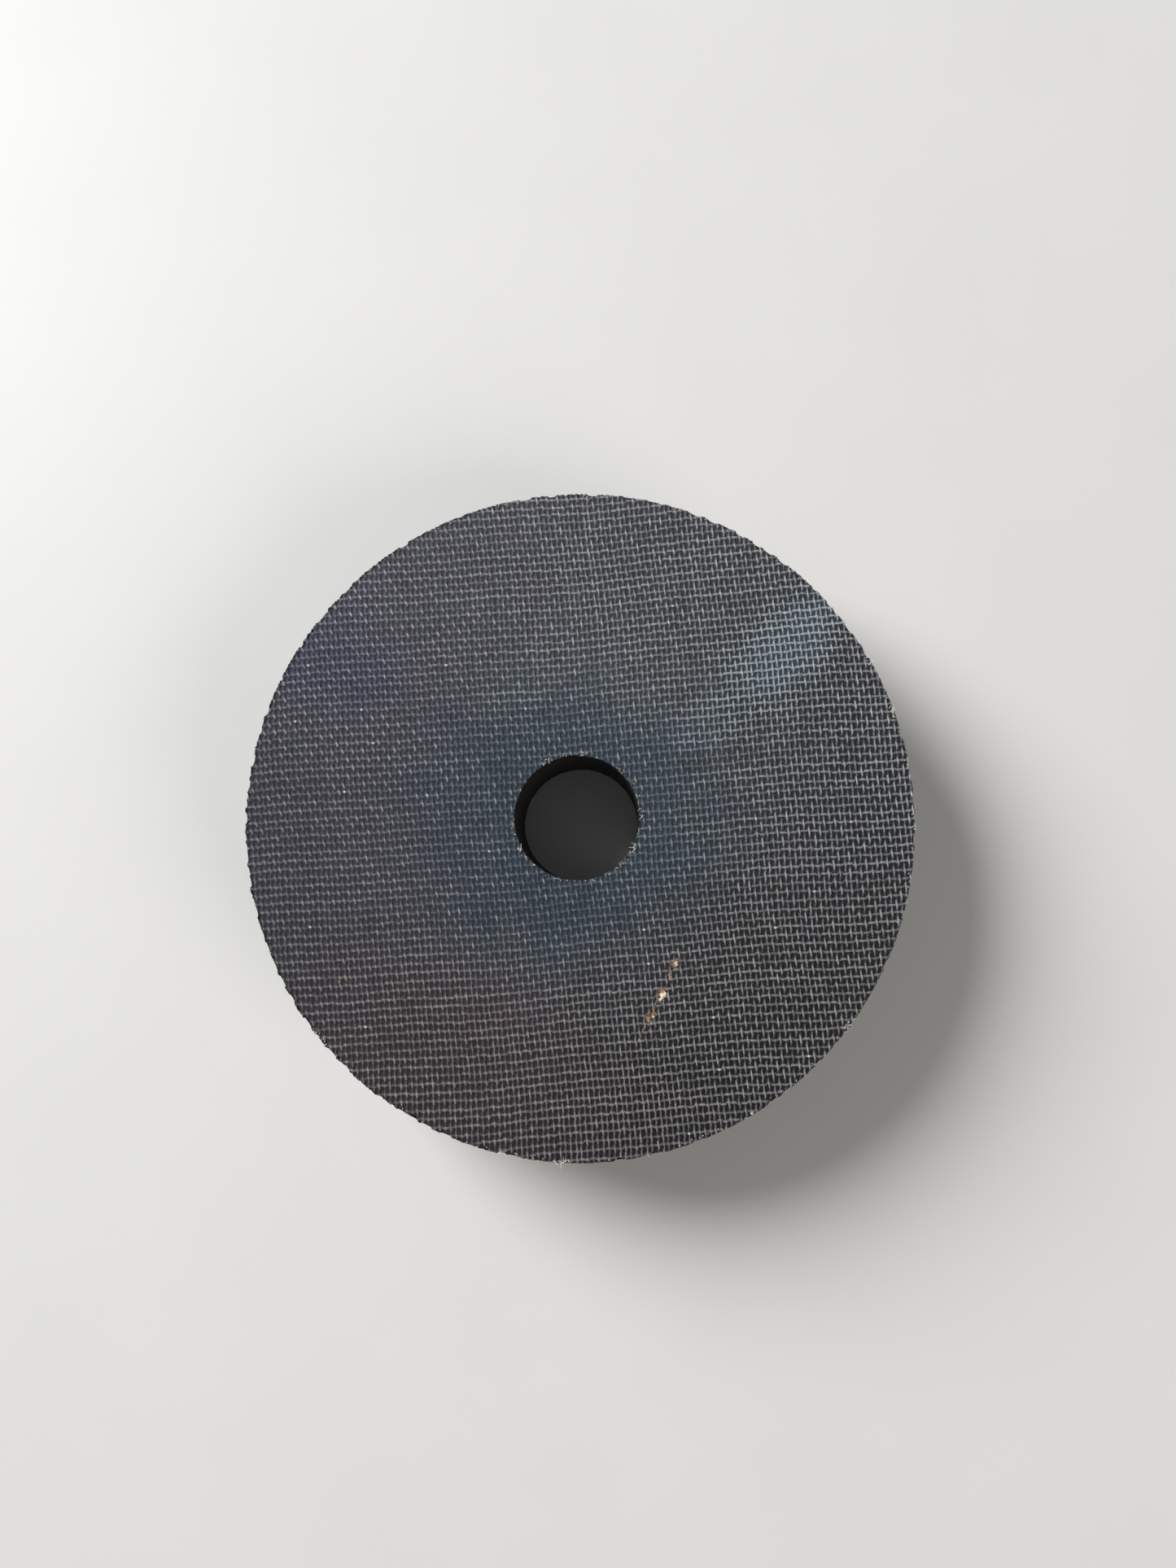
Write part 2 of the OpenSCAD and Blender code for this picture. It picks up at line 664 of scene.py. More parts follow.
def place(tree):
    """Position on the disc, in millimetres, as a vector and as its three wires."""
    node = tree.nodes.new("ShaderNodeTexCoord")
    scale = tree.nodes.new("ShaderNodeVectorMath")
    scale.operation = "SCALE"
    scale.inputs["Scale"].default_value = 1 / MM
    tree.links.new(node.outputs["Object"], scale.inputs[0])
    vector = Wire(tree, scale.outputs[0])
    return vector, split(tree, vector)


def noise(tree, vector, scale, detail=2.0, roughness=0.5):
    node = tree.nodes.new("ShaderNodeTexNoise")
    plug(tree, vector, node.inputs["Vector"])
    node.inputs["Scale"].default_value = scale
    node.inputs["Detail"].default_value = detail
    node.inputs["Roughness"].default_value = roughness
    return Wire(tree, node.outputs["Fac"])


def chance(tree, vector):
    """A random number from 0 to 1 for each value of a vector."""
    node = tree.nodes.new("ShaderNodeTexWhiteNoise")
    node.noise_dimensions = "3D"
    plug(tree, vector, node.inputs["Vector"])
    return Wire(tree, node.outputs["Value"])


def blend(tree, share, first, second):
    """A colour that is first where share is 0 and second where it is 1."""
    node = tree.nodes.new("ShaderNodeMix")
    node.data_type = "RGBA"
    plug(tree, share, node.inputs["Factor"])
    colour_a, colour_b = [s for s in node.inputs if s.type == "RGBA"]
    plug(tree, first if isinstance(first, Wire) else (*first, 1.0), colour_a)
    plug(tree, second if isinstance(second, Wire) else (*second, 1.0), colour_b)
    return Wire(tree, next(s for s in node.outputs if s.type == "RGBA"))


def multiply(tree, first, second):
    """Two colours multiplied channel by channel."""
    node = tree.nodes.new("ShaderNodeVectorMath")
    node.operation = "MULTIPLY"
    plug(tree, first, node.inputs[0])
    plug(tree, second, node.inputs[1])
    return Wire(tree, node.outputs[0])


def bump(tree, height):
    """A shader normal that stands for relief finer than the mesh."""
    node = tree.nodes.new("ShaderNodeBump")
    node.inputs["Distance"].default_value = FINE_RELIEF
    plug(tree, height, node.inputs["Height"])
    return Wire(tree, node.outputs[0])


def grey(tree, value):
    return join(tree, value, value, value)


# ---- Materials -----------------------------------------------------------------------------------

YARN_COLOUR = (0.275, 0.285, 0.295)
# The knuckle colour is partly pale yarn and partly painted highlight.
KNUCKLE_HIGHLIGHT_COLOUR = (0.450, 0.425, 0.385)
NEP_COLOUR = (0.62, 0.60, 0.56)
PIT_COLOUR = (0.0045, 0.0052, 0.0066)
SKIN_COLOUR = (0.046, 0.047, 0.055)
NEUTRAL_TINT = (1.0, 1.0, 1.0)
COOL_TINT = (0.64, 0.99, 1.16)
NAVY_REFLECTION_TINT = (1.0, 0.955, 1.16)
WARM_TINT = (1.14, 0.94, 0.92)
SHEEN_TINT = (0.86, 1.05, 1.13)
BARE_CLOTH = (0.120, 0.070, 0.045)
BARE_CLOTH_MID = (0.330, 0.215, 0.145)
BARE_CLOTH_LIGHT = (0.88, 0.72, 0.54)
TAN_FIBRE = (0.62, 0.46, 0.32)
CREAM_FIBRE = (0.90, 0.88, 0.84)

# The cut yarns and the resin between them, in the darker and the lighter plies.
DARK_CUT = ((0.048, 0.036, 0.028), (0.0085, 0.0075, 0.0070))
LIGHT_CUT = ((0.066, 0.048, 0.036), (0.0105, 0.0090, 0.0080))

# Noises, as cells per millimetre, detail and, where it isn't plain, roughness.
FIBRE_NOISE = (9.0, 3.0, 0.6)
GRAIN_NOISE = (3.4, 2.0)
PATCH_NOISE = (0.45, 3.0)
DRIFT_NOISE = (0.05, 3.0)
CLOUD_NOISE = (0.17, 2.0)
FLECK_NOISE = (2.6, 3.0)
BEND_NOISE = (1.1, 2.0)
CUT_FIBRE_NOISE = (6.0, 3.0, 0.6)
CUT_PATCH_NOISE = (0.35, 2.0)
STAIN_NOISE = (0.9, 2.0)
FUZZ_NOISE = (14.0, 2.0)
FLOOR_NOISE = (0.05, 3.0)
FINE_RELIEF = 0.02 * MM

# Salts that keep the random numbers of the yarns and crossings apart.
CROSSING_SALT = 1.0
STRAY_U_SALT = 2.0
WARP_SALT = 3.0
STRAY_V_SALT = 4.0
KNUCKLE_SALT = 6.0
WEFT_SALT = 7.0
NEP_SALT = 9.0

# Where in a ply, from underside to upper side, the upper face's own damage and its painted sheen begin
# and are full.
UPPER_SIDE = (-0.1, 0.1)

# Zones across the face: the slope over the disc that each follows, how ragged it is, and the
# millimetres up the slope where it starts and where it is full. The zone that lightens the face towards
# the top is partly painted light, and the one at the upper right is painted sheen.
LEFT_ZONE = ((1.0, 0.0), 22.0, (16.0, -30.0))
TOP_ZONE = ((-0.5, 1.0), 20.0, (-20.0, 34.0))
BOTTOM_ZONE = ((0.0, 1.0), 22.0, (2.0, -30.0))
UPPER_RIGHT_SHEEN_ZONE = ((1.0, 0.8), 14.0, (4.0, 34.0))
PAINTED_LIGHT_ZONE = ((0.35, 1.0), 16.0, (-8.0, 40.0))
FLAT_ZONE = ((-0.5, -0.87), 10.0, (14.0, 28.0))

# The zones round the middle: the radii where each starts and is full, and how ragged they are. The one
# along the rim is painted shade of the rounded edge.
BORE_ZONE = (24.0, 7.0)
MIDDLE_ZONE = (36.0, 16.0)
ROUND_RAGGED = 14.0
RIM_SHADE_ZONE = (37.7, 38.1)
RIM_RAGGED = 0.5

# Patches of painted sheen on the face, a reflection of the window painted into its colour, in
# millimetres: middle, half length and width, heading and strength.
PAINTED_SHEEN_PATCHES = (
    ((23.0, 19.5), (9.5, 5.6), radians(42), 1.0),
    ((15.5, 11.5), (6.0, 3.4), radians(35), 0.75),
    ((-7.5, 14.0), (5.0, 2.4), radians(10), 0.45),
    ((-13.5, 4.0), (5.5, 2.6), radians(-35), 0.40),
)
SHEEN_FADE = (1.2, 0.0)
SHEEN_RAGGED = 2.2

# Tinted patches, in millimetres: middle, half length and width, and tint.
TINTED_PATCHES = (
    ((-28.0, 18.0), (8.0, 6.0), (0.76, 0.90, 1.30)),
    ((-13.5, -23.5), (11.0, 6.5), (1.30, 0.88, 0.90)),
)
TINT_FADE = (1.5, 0.0)
TINT_RAGGED = 3.0
TINT_STRENGTH = 0.7

# How far a crossing strays, in pitches, and how the raised knuckles and the warps' crowns lean.
# Where the warp lies over, its knuckle sits a little lower and reaches further along the yarn.
STRAY_U = 0.10
STRAY_V = 0.18
KNUCKLE_LEAN = 0.10
TOP_LEAN = 0.30
CROWN_LEAN = 0.05
KNUCKLE_DROP = 0.07

# Yarns, knuckles and neps, in millimetres from their middles: where each ends and where it is full.
WARP_EDGE = (0.125, 0.050)
WEFT_EDGE = (0.165, 0.060)
KNUCKLE_SIDE = (0.13, 0.05)
KNUCKLE_END_BY_OVER = (0.22, 0.42)
KNUCKLE_FULL = 0.10
NEP_EDGE = (0.20, 0.12)
NEP_SHARE = (0.9975, 0.9980)
FUZZY_EDGE = 0.12

# How clear of the skin the yarns stand, from 0 to 1. A name with BY holds the factor where the
# cause that it names is 0 and where it is 1.
CLEAR_LOSS_LEFT = 0.62
CLEAR_LOSS_TOP = 0.20
CLEAR_BY_PATCH = (0.60, 1.40)

# The light on the warps: the least, what streaks and the yarn add, and the few bright crossings.
WARP_LEAST = 0.22
WARP_STREAKS = 0.32
WARP_YARNS = 0.24
STREAK_STRETCH = (0.30, 0.045)
WARP_BY_LEFT = (1.0, 0.80)
WARP_BY_CROSSING = (0.52, 1.40)
BRIGHT_SHARE = (0.82, 0.95)
BRIGHT_LIGHT = 0.26

# The light on the wefts and knuckles, and how much the crimp of each yarn swings its light, a painted
# highlight where a yarn lies over and painted shade where it dives.
WEFT_BY_CLEAR = (0.22, 0.68)
WEFT_BY_YARN = (0.55, 1.0)
WEFT_BY_CROSSING = (0.70, 1.30)
KNUCKLE_BY_CLEAR = (0.70, 0.40)
KNUCKLE_BY_CROSSING = (0.34, 1.12)
KNUCKLE_BY_TOP = (1.0, 0.86)
CRIMP_BY_FLAT = (1.0, 0.25)
WARP_CRIMP = 0.80
WEFT_CRIMP = 0.40
KNUCKLE_CRIMP = 1.30

# Round the bore the yarns are dimmer and grainier, and only some of the knuckles stand out.
LIGHT_BY_BORE = (1.0, 0.45)
GRAIN_BY_BORE = (0.9, 2.7)
KNUCKLE_BY_BORE = (1.0, 0.75)
SPARSE_SHARE = (0.30, 0.95)
SPARSE_LIGHT = (-0.45, 0.225)

# The grey skin over the pits, which is partly painted sheen of the glossy resin: the least, and what
# each zone adds. What the upper right adds is painted sheen.
HAZE_LEAST = 0.17
HAZE_LEFT = 0.50
HAZE_TOP = 0.30
HAZE_BORE = 0.50
HAZE_MIDDLE = 0.30
HAZE_UPPER_RIGHT_SHEEN = 0.14
HAZE_BY_PATCH = (0.65, 1.25)

# How strong the blue cast by the bore is, how much of the skin's cast the yarns and knuckles take, and
# how the tone of the whole face changes: lighter towards the top, partly as painted light, and darker
# along the left rim as painted shade.
BORE_CAST = 0.8
YARN_CAST = 0.45
KNUCKLE_CAST = 0.5
TONE_BY_PAINTED_LIGHT = (0.86, 1.20)
TONE_BY_RIM_SHADE = (1.0, 0.4)

# The gouge: how its outline bends, how flecks break it up, and where the mid and light cloth shows.
TEAR_BEND = (1.3, -0.6)
TEAR_RAGGED = 1.8
TEAR_FADE = (0.05, 0.35)
TEAR_LIMIT = (-0.6, -0.1)
MID_BY_DEPTH = 0.12
MID_FLECKS = (0.48, 0.62)
LIGHT_BY_DEPTH = 0.30
LIGHT_FLECKS = (0.66, 0.84)
LIGHT_SHIFT = (-0.24, 0.12)


def painted_sheen_patches(x, y, drift):
    """How strongly the painted sheen, a reflection painted as a grey-blue skin, shows, from 0 to 1."""
    total = 0.0
    for middle, halves, heading, strength in PAINTED_SHEEN_PATCHES:
        patch = (reach(x, y, middle, halves, heading) + drift * SHEEN_RAGGED).ramp(*SHEEN_FADE)
        total = (patch * strength).larger(total)
    return total


def bared(x, y):
    """How far the skin is torn away, above 0 inside the chips of the gouge."""
    total = -1.0
    for middle, halves in GOUGE_CHIPS:
        total = (1.0 - reach(x, y, middle, halves, GOUGE_HEADING)).larger(total)
    return total


class Face:
    """What the steps of the face's material share: places, yarns, noises, zones across the face and the
    painted sheen.
    """

    def __init__(self, tree):
        self.tree = tree
        self.vector, (self.x, self.y, _) = place(tree)
        self.u, self.v, level = split(tree, attribute(tree, "cloth"))
        self.upper = level.ramp(*UPPER_SIDE)
        self.warp = self.u.nearest()
        self.weft = self.v.nearest()
        self.over = ((self.warp + self.weft) * pi).cosine() * 0.5 + 0.5
        self.crossing_luck = self.luck(CROSSING_SALT)
        self.knuckle_luck = self.luck(KNUCKLE_SALT)

        self.fibres = noise(tree, self.vector, *FIBRE_NOISE)
        self.patches = noise(tree, self.vector, *PATCH_NOISE)
        self.drift = noise(tree, self.vector, *DRIFT_NOISE) - 0.5
        self.cloud = noise(tree, self.vector, *CLOUD_NOISE) - 0.5

        self.left = self.zone(*LEFT_ZONE)
        self.top = self.zone(*TOP_ZONE)
        self.radius = (self.x * self.x + self.y * self.y).power(0.5)
        self.by_bore = (self.radius + (self.drift + self.cloud) * ROUND_RAGGED).ramp(*BORE_ZONE)
        # Painted sheen: patches where a reflection is painted into the face's colour.
        self.painted_sheen = painted_sheen_patches(self.x, self.y, self.drift) * self.upper

    def luck(self, salt):
        """A random number from 0 to 1 for each crossing of a warp and a weft."""
        return chance(self.tree, join(self.tree, self.warp, self.weft, salt))

    def zone(self, slope, ragged, fade):
        """How far a point is into one of the zones that run across the disc."""
        return (self.x * slope[0] + self.y * slope[1] + self.drift * ragged).ramp(*fade)


def yarn_shapes(face):
    """Where the warps, wefts, knuckles and neps lie, each from 0 beside it to 1 on it."""
    # Every crossing strays from the straight grid, and the yarns break step there.
    stray_u = (face.luck(STRAY_U_SALT) - 0.5) * STRAY_U
    stray_v = (face.luck(STRAY_V_SALT) - 0.5) * STRAY_V
    du = (face.u - face.warp + stray_u) * (WARP_PITCH / MM)
    dv = (face.v - face.weft + stray_v) * (WEFT_PITCH / MM)
    fuzz = (face.fibres - 0.5) * FUZZY_EDGE
    lean = face.top * TOP_LEAN + KNUCKLE_LEAN
    across = du + dv * lean
    along = dv - du * lean + face.over * KNUCKLE_DROP
    knuckle_end = face.over.span(*KNUCKLE_END_BY_OVER)
    knuckle = (across.size() + fuzz).ramp(*KNUCKLE_SIDE)
    knuckle = knuckle * (along.size() + fuzz).ramp(knuckle_end, KNUCKLE_FULL)
    warp = ((du + dv * CROWN_LEAN).size() + fuzz).ramp(*WARP_EDGE)
    weft = (dv.size() + fuzz).ramp(*WEFT_EDGE)
    nep = face.luck(NEP_SALT).ramp(*NEP_SHARE) * (du.size() + dv.size()).ramp(*NEP_EDGE)
    return warp, weft, knuckle, nep


def yarn_lights(face):
    """How brightly the warps, wefts and knuckles show, from 0 to 1."""
    tree = face.tree
    # To the right the yarns stand clear of dark pits; to the left a grey skin hides all but knuckles.
    # This change from right to left is partly painted light, and the painted sheen makes the yarns
    # stand clear.
    clear = 1.0 - face.left * CLEAR_LOSS_LEFT - face.top * CLEAR_LOSS_TOP
    clear = (clear * face.patches.span(*CLEAR_BY_PATCH)).larger(face.painted_sheen)
    crimp = face.zone(*FLAT_ZONE).span(*CRIMP_BY_FLAT)

    streak_place = join(tree, face.u * STREAK_STRETCH[0], face.v * STREAK_STRETCH[1])
    streaks = noise(tree, streak_place, 1.0)
    warp_luck = chance(tree, join(tree, face.warp, WARP_SALT, 0.0))
    warp = WARP_LEAST + streaks * WARP_STREAKS + warp_luck * WARP_YARNS
    warp = warp * face.left.span(*WARP_BY_LEFT) * face.crossing_luck.span(*WARP_BY_CROSSING)
    warp = (warp + face.crossing_luck.ramp(*BRIGHT_SHARE) * BRIGHT_LIGHT) * clear
    # Painted highlight and shade: a warp is lighter where it lies over a weft and darker where it
    # dives.
    warp = warp * (1.0 + ((face.v + face.warp) * pi).cosine() * crimp * WARP_CRIMP)

    weft_luck = chance(tree, join(tree, WEFT_SALT, face.weft, 0.0))
    weft = clear.span(*WEFT_BY_CLEAR) * weft_luck.span(*WEFT_BY_YARN)
    weft = weft * face.knuckle_luck.span(*WEFT_BY_CROSSING)
    # Painted highlight and shade on each weft in the same way.
    weft = weft * (1.0 - ((face.u + face.weft) * pi).cosine() * crimp * WEFT_CRIMP)

    knuckle = clear.span(*KNUCKLE_BY_CLEAR) * face.knuckle_luck.span(*KNUCKLE_BY_CROSSING)
    # Painted highlight: a knuckle is lighter where the warp lies over.
    knuckle = knuckle * (1.0 + (face.over - 0.5) * crimp * KNUCKLE_CRIMP)
    sparse = face.knuckle_luck.ramp(*SPARSE_SHARE).span(*SPARSE_LIGHT)
    knuckle = knuckle * face.by_bore.span(*KNUCKLE_BY_BORE) * (1.0 + face.by_bore * sparse)
    return warp, weft, knuckle * face.top.span(*KNUCKLE_BY_TOP)


def yarn_light_by_bore_and_sheen(face):
    """How the light of the warps and wefts changes: dim and grainy by the bore, and bright in the
    painted sheen.
    """
    grain = noise(face.tree, face.vector, *GRAIN_NOISE) - 0.5
    grainy = 1.0 + grain * face.by_bore.span(*GRAIN_BY_BORE)
    return face.by_bore.span(*LIGHT_BY_BORE) * (1.0 + face.painted_sheen) * grainy


def skin_tint(face):
    """The skin's cast: navy at the left, partly a painted reflection of the window, warm below, tinted
    in places, blue by the bore and blue-grey in the painted sheen.
    """
    tree = face.tree
    tint = blend(tree, face.left, NEUTRAL_TINT, NAVY_REFLECTION_TINT)
    tint = blend(tree, face.zone(*BOTTOM_ZONE), tint, WARM_TINT)
    for middle, halves, patch_tint in TINTED_PATCHES:
        away = reach(face.x, face.y, middle, halves, 0.0) + face.cloud * TINT_RAGGED
        tint = blend(tree, away.ramp(*TINT_FADE) * TINT_STRENGTH, tint, patch_tint)
    tint = blend(tree, face.by_bore * BORE_CAST, tint, COOL_TINT)
    return blend(tree, face.painted_sheen, tint, SHEEN_TINT)


def skin_haze_and_sheen(face):
    """How much grey skin lies over the dark pits, partly as painted sheen, and at least as much as the
    painted sheen patches give.
    """
    middle = (face.radius + face.drift * ROUND_RAGGED).ramp(*MIDDLE_ZONE)
    haze = HAZE_LEAST + face.left * HAZE_LEFT + face.top * HAZE_TOP + face.by_bore * HAZE_BORE
    haze = haze + middle * HAZE_MIDDLE + face.zone(*UPPER_RIGHT_SHEEN_ZONE) * HAZE_UPPER_RIGHT_SHEEN
    return haze.math("MINIMUM", 1.0).larger(face.painted_sheen) * face.patches.span(*HAZE_BY_PATCH)


def face_tone(face):
    """How light the face is as a whole: more towards the upper right, partly as painted light, and less
    along the left rim, as painted shade.
    """
    rim_shade = (face.radius + face.fibres * RIM_RAGGED).ramp(*RIM_SHADE_ZONE) * face.left
    return face.zone(*PAINTED_LIGHT_ZONE).span(*TONE_BY_PAINTED_LIGHT) * rim_shade.span(*TONE_BY_RIM_SHADE)


def torn_cloth(face):
    """Where the skin of the upper face is torn away, and the colour of the bare cloth there."""
    tree = face.tree
    flecks = noise(tree, face.vector, *FLECK_NOISE)
    bend = noise(tree, face.vector, *BEND_NOISE) - 0.5
    x = face.x + bend * TEAR_BEND[0]
    y = face.y + bend * TEAR_BEND[1]
    bare = bared(x, y)
    light = bared(x + LIGHT_SHIFT[0], y + LIGHT_SHIFT[1])
    torn = (bare + (flecks - 0.5) * TEAR_RAGGED).ramp(*TEAR_FADE)
    mid_share = (bare * MID_BY_DEPTH + flecks).ramp(*MID_FLECKS)
    light_share = (light * LIGHT_BY_DEPTH + flecks).ramp(*LIGHT_FLECKS)
    colour = blend(tree, mid_share, BARE_CLOTH, BARE_CLOTH_MID)
    colour = blend(tree, light_share, colour, BARE_CLOTH_LIGHT)
    return torn * bare.ramp(*TEAR_LIMIT) * face.upper, colour


FACE_ROUGHNESS = 0.50
YARN_ROUGHNESS = 0.22
TORN_ROUGHNESS = 0.20
FACE_SPECULAR = 0.22
CROWN_BUMP = 0.5


def face_canvas(name):
    """Pressed canvas under a dark resin skin: pale yarn crowns between near-black resin pits."""
    material, tree, shader = new_material(name)
    face = Face(tree)
    warp, weft, knuckle, nep = yarn_shapes(face)
    warp_light, weft_light, knuckle_light = yarn_lights(face)
    light = (warp * warp_light).larger(weft * weft_light) * yarn_light_by_bore_and_sheen(face)

    tint = skin_tint(face)
    ground = multiply(tree, blend(tree, skin_haze_and_sheen(face), PIT_COLOUR, SKIN_COLOUR), tint)
    yarn = multiply(tree, YARN_COLOUR, blend(tree, YARN_CAST, NEUTRAL_TINT, tint))
    knuckle_cast = (face.by_bore * KNUCKLE_CAST).larger(face.painted_sheen)
    # The knuckles are partly pale yarn and partly painted highlights of the window on their crowns.
    knuckle_highlight = multiply(tree, KNUCKLE_HIGHLIGHT_COLOUR, blend(tree, knuckle_cast, NEUTRAL_TINT, tint))
    colour = blend(tree, light, ground, yarn)
    colour = blend(tree, knuckle * knuckle_light, colour, knuckle_highlight)
    colour = multiply(tree, colour, grey(tree, face_tone(face)))
    colour = blend(tree, nep, colour, NEP_COLOUR)
    torn, bare_colour = torn_cloth(face)
    plug(tree, blend(tree, torn, colour, bare_colour), shader.inputs["Base Color"])

    cover = warp.larger(weft).larger(knuckle)
    roughness = FACE_ROUGHNESS + cover * YARN_ROUGHNESS + torn * TORN_ROUGHNESS
    plug(tree, roughness, shader.inputs["Roughness"])
    shader.inputs["Specular IOR Level"].default_value = FACE_SPECULAR
    plug(tree, bump(tree, face.fibres * cover + cover * CROWN_BUMP), shader.inputs["Normal"])
    return material


# A yarn cut through at the edge: its half widths, in pitches, its half height and its crimp, in
# plies, and where its ragged outline ends and is full. Wefts show less than warps.
CUT_WARP_HALF = 0.42
CUT_WEFT_HALF = 0.36
CUT_HALF_HEIGHT = 0.26
CUT_CRIMP = 0.20
CUT_RAGGED = 1.3
CUT_OUTLINE = (1.35, 0.55)
CUT_WEFT_SHARE = 0.75

# How far the cut yarns show in the resin: the least, and what each cause adds.
CUT_LEAST = 0.10
CUT_PATCHES = 0.35
CUT_FIBRES = 0.40
CUT_LUCK = 0.25
CUT_SMEAR = 0.30
SMEAR_AROUND = 0.5
SMEAR_UP = 4.0
CUT_ROUGHNESS = 0.42
CUT_YARN_ROUGHNESS = 0.20
FIBRE_BUMP = 0.4
YARN_BUMP = 0.6

# How much darker than the rim the bore's wall is painted, as painted shade in the bore, and the radii
# between the two.
BORE_PAINTED_SHADE = 0.65
BORE_SIDE = (10.0, 8.0)


def cut_edge(name, yarn_colour, resin_colour):
    """A turned edge: cut yarn ends and long yarn cuts in dark resin, from the cloth's own weave."""
    material, tree, shader = new_material(name)
    vector, (x, y, z) = place(tree)
    u, v, w = split(tree, attribute(tree, "cloth"))
    warp = u.nearest()
    weft = v.nearest()
    fibres = noise(tree, vector, *CUT_FIBRE_NOISE)
    patches = noise(tree, vector, *CUT_PATCH_NOISE)
    ragged = (fibres - 0.5) * CUT_RAGGED

    warp_up = (w - ((v + warp) * pi).cosine() * CUT_CRIMP) / CUT_HALF_HEIGHT
    weft_up = (w + ((u + weft) * pi).cosine() * CUT_CRIMP) / CUT_HALF_HEIGHT
    warp_reach = ((u - warp) / CUT_WARP_HALF).power(2.0) + warp_up.power(2.0)
    weft_reach = ((v - weft) / CUT_WEFT_HALF).power(2.0) + weft_up.power(2.0)
    weft_cut = (weft_reach + ragged).ramp(*CUT_OUTLINE) * CUT_WEFT_SHARE
    yarn = (warp_reach + ragged).ramp(*CUT_OUTLINE).larger(weft_cut)

    ply = (z / (PLY_T / MM)).math("FLOOR")
    luck = chance(tree, join(tree, warp, weft, ply))
    smear_place = join(tree, x * SMEAR_AROUND, y * SMEAR_AROUND, z * SMEAR_UP)
    smear = noise(tree, smear_place, 1.0)
    shade = CUT_LEAST + patches * CUT_PATCHES + fibres * CUT_FIBRES + luck * CUT_LUCK
    shade = (shade + smear * CUT_SMEAR) * yarn
    # Painted shade: the bore's wall is darkened in its colour.
    in_bore = (x * x + y * y).power(0.5).ramp(*BORE_SIDE)
    darker = grey(tree, 1.0 - in_bore * BORE_PAINTED_SHADE)
    colour = multiply(tree, blend(tree, shade, resin_colour, yarn_colour), darker)
    plug(tree, colour, shader.inputs["Base Color"])
    plug(tree, CUT_ROUGHNESS + yarn * CUT_YARN_ROUGHNESS, shader.inputs["Roughness"])
    plug(tree, bump(tree, fibres * FIBRE_BUMP + yarn * YARN_BUMP), shader.inputs["Normal"])
    return material


# How stained the loose fibres are, and how light they are where the fuzz is 0 and 1.
FIBRE_STAIN = (0.34, 0.56)
TONE_BY_FUZZ = (0.6, 1.4)
LOOSE_ROUGHNESS = 0.75


def torn_yarn(name):
    """Loose cotton fibres, from a resin-stained tan to cream."""
    material, tree, shader = new_material(name)
    vector, _ = place(tree)
    clean = noise(tree, vector, *STAIN_NOISE).ramp(*FIBRE_STAIN)
    tone = noise(tree, vector, *FUZZ_NOISE).span(*TONE_BY_FUZZ)
    colour = multiply(tree, blend(tree, clean, TAN_FIBRE, CREAM_FIBRE), grey(tree, tone))
    plug(tree, colour, shader.inputs["Base Color"])
    shader.inputs["Roughness"].default_value = LOOSE_ROUGHNESS
    return material


FACE = face_canvas("face_canvas")
FIBRE = torn_yarn("torn_yarn")
EDGE_DARK = cut_edge("edge_dark", *DARK_CUT)
EDGE_LIGHT = cut_edge("edge_light", *LIGHT_CUT)


# ---- Assembly ------------------------------------------------------------------------------------


def finish_piece(piece, node, materials):
    for material in materials:
        piece.data.materials.append(material)
    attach(piece, "root")
    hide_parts(node)


top_ply = woven_ply("top_face_canvas", TOP_LEVEL, True, UPPER_EDGE_SEED)
finish_piece(top_ply, "top_face_ply", (FACE, EDGE_DARK))
bottom_ply = woven_ply("bottom_face_canvas", 0, False, LOWER_EDGE_SEED)
finish_piece(bottom_ply, "bottom_face_ply", (FACE, EDGE_DARK))
rim_fibres = loose_fibres("rim_fibres", RIM_R, 1, RIM_TUFTS, RIM_FIBRE_SEED)
bore_fibres = loose_fibres("bore_fibres", BORE_R, -1, BORE_TUFTS, BORE_FIBRE_SEED)
for fibres in (rim_fibres, bore_fibres):
    fibres.data.materials.append(FIBRE)
    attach(fibres, "root")
for level, node in enumerate(core_names, start=1):
    slot, edge = ("edge_light", EDGE_LIGHT) if level % 2 else ("edge_dark", EDGE_DARK)
    finish_piece(core_ply(node + "_cut", level), node, (edge,))


# ---- Floor, lights and camera --------------------------------------------------------------------

FLOOR_HALF = 1.5
FLOOR_DARKER = (0.76, 0.745, 0.72)
FLOOR_LIGHTER = (0.80, 0.785, 0.76)
FLOOR_ROUGHNESS = 0.6

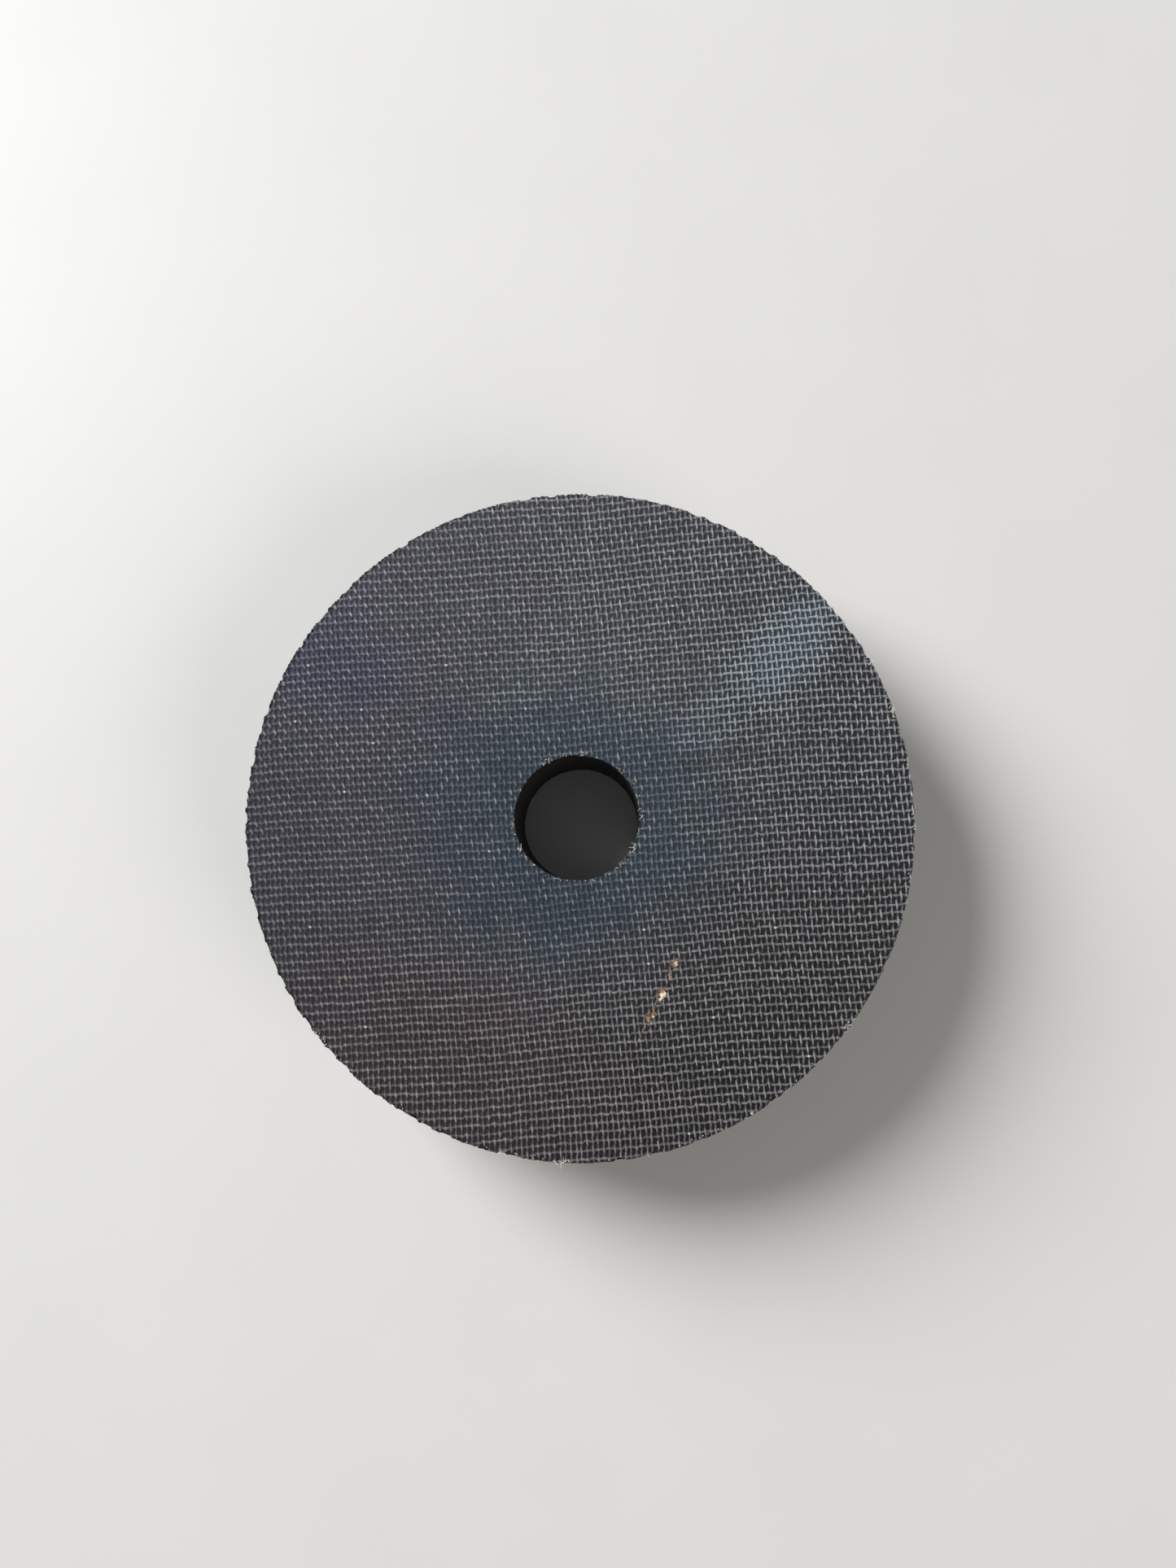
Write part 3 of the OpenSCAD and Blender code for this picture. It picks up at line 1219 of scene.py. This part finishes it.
# The camera looks almost straight down, from a little in front of the disc and to its right.
LENS_MM = 24.47
SENSOR_MM = 36.0
NEAR_CLIP = 0.005
CAMERA_PLACE = (4.98 * MM, -9.08 * MM, TOP_Z + 120.3 * MM)
CAMERA_TILT = (radians(6.107), radians(1.773), 0)


def floor():
    mesh = bpy.data.meshes.new("floor")
    corners = [(-FLOOR_HALF, -FLOOR_HALF), (FLOOR_HALF, -FLOOR_HALF)]
    corners += [(-x, -y) for x, y in corners]
    mesh.from_pydata([(x, y, BOTTOM_Z) for x, y in corners], [], [(0, 1, 2, 3)])
    material, tree, shader = new_material("floor")
    vector, _ = place(tree)
    mottle = noise(tree, vector, *FLOOR_NOISE)
    plug(tree, blend(tree, mottle, FLOOR_DARKER, FLOOR_LIGHTER), shader.inputs["Base Color"])
    shader.inputs["Roughness"].default_value = FLOOR_ROUGHNESS
    mesh.materials.append(material)
    link("floor", mesh)


def area_light(name, place_at, size, watts, colour):
    """A round soft light that faces the disc."""
    lamp = bpy.data.lights.new(name, "AREA")
    lamp.shape = "DISK"
    lamp.size = size
    lamp.energy = watts
    lamp.color = colour
    item = bpy.data.objects.new(name, lamp)
    bpy.context.scene.collection.objects.link(item)
    item.location = place_at
    item.rotation_euler = (-Vector(place_at)).to_track_quat("-Z", "Y").to_euler()


def world_light(colour, strength):
    world = bpy.data.worlds.new("studio")
    world.use_nodes = True
    background = world.node_tree.nodes["Background"]
    background.inputs["Color"].default_value = (*colour, 1.0)
    background.inputs["Strength"].default_value = strength
    bpy.context.scene.world = world


def camera():
    lens = bpy.data.cameras.new("camera")
    lens.lens = LENS_MM
    lens.sensor_width = SENSOR_MM
    lens.clip_start = NEAR_CLIP
    item = bpy.data.objects.new("camera", lens)
    bpy.context.scene.collection.objects.link(item)
    item.location = CAMERA_PLACE
    item.rotation_euler = CAMERA_TILT
    bpy.context.scene.camera = item


floor()
area_light("window", (-0.96, 0.71, 0.72), size=0.80, watts=28.8, colour=(0.97, 0.985, 1.0))
area_light("room", (1.08, -0.85, 0.78), size=0.93, watts=8.6, colour=(1.0, 0.965, 0.93))
world_light(colour=(0.95, 0.98, 1.0), strength=0.13)
camera()
bpy.context.scene.view_settings.view_transform = "Standard"
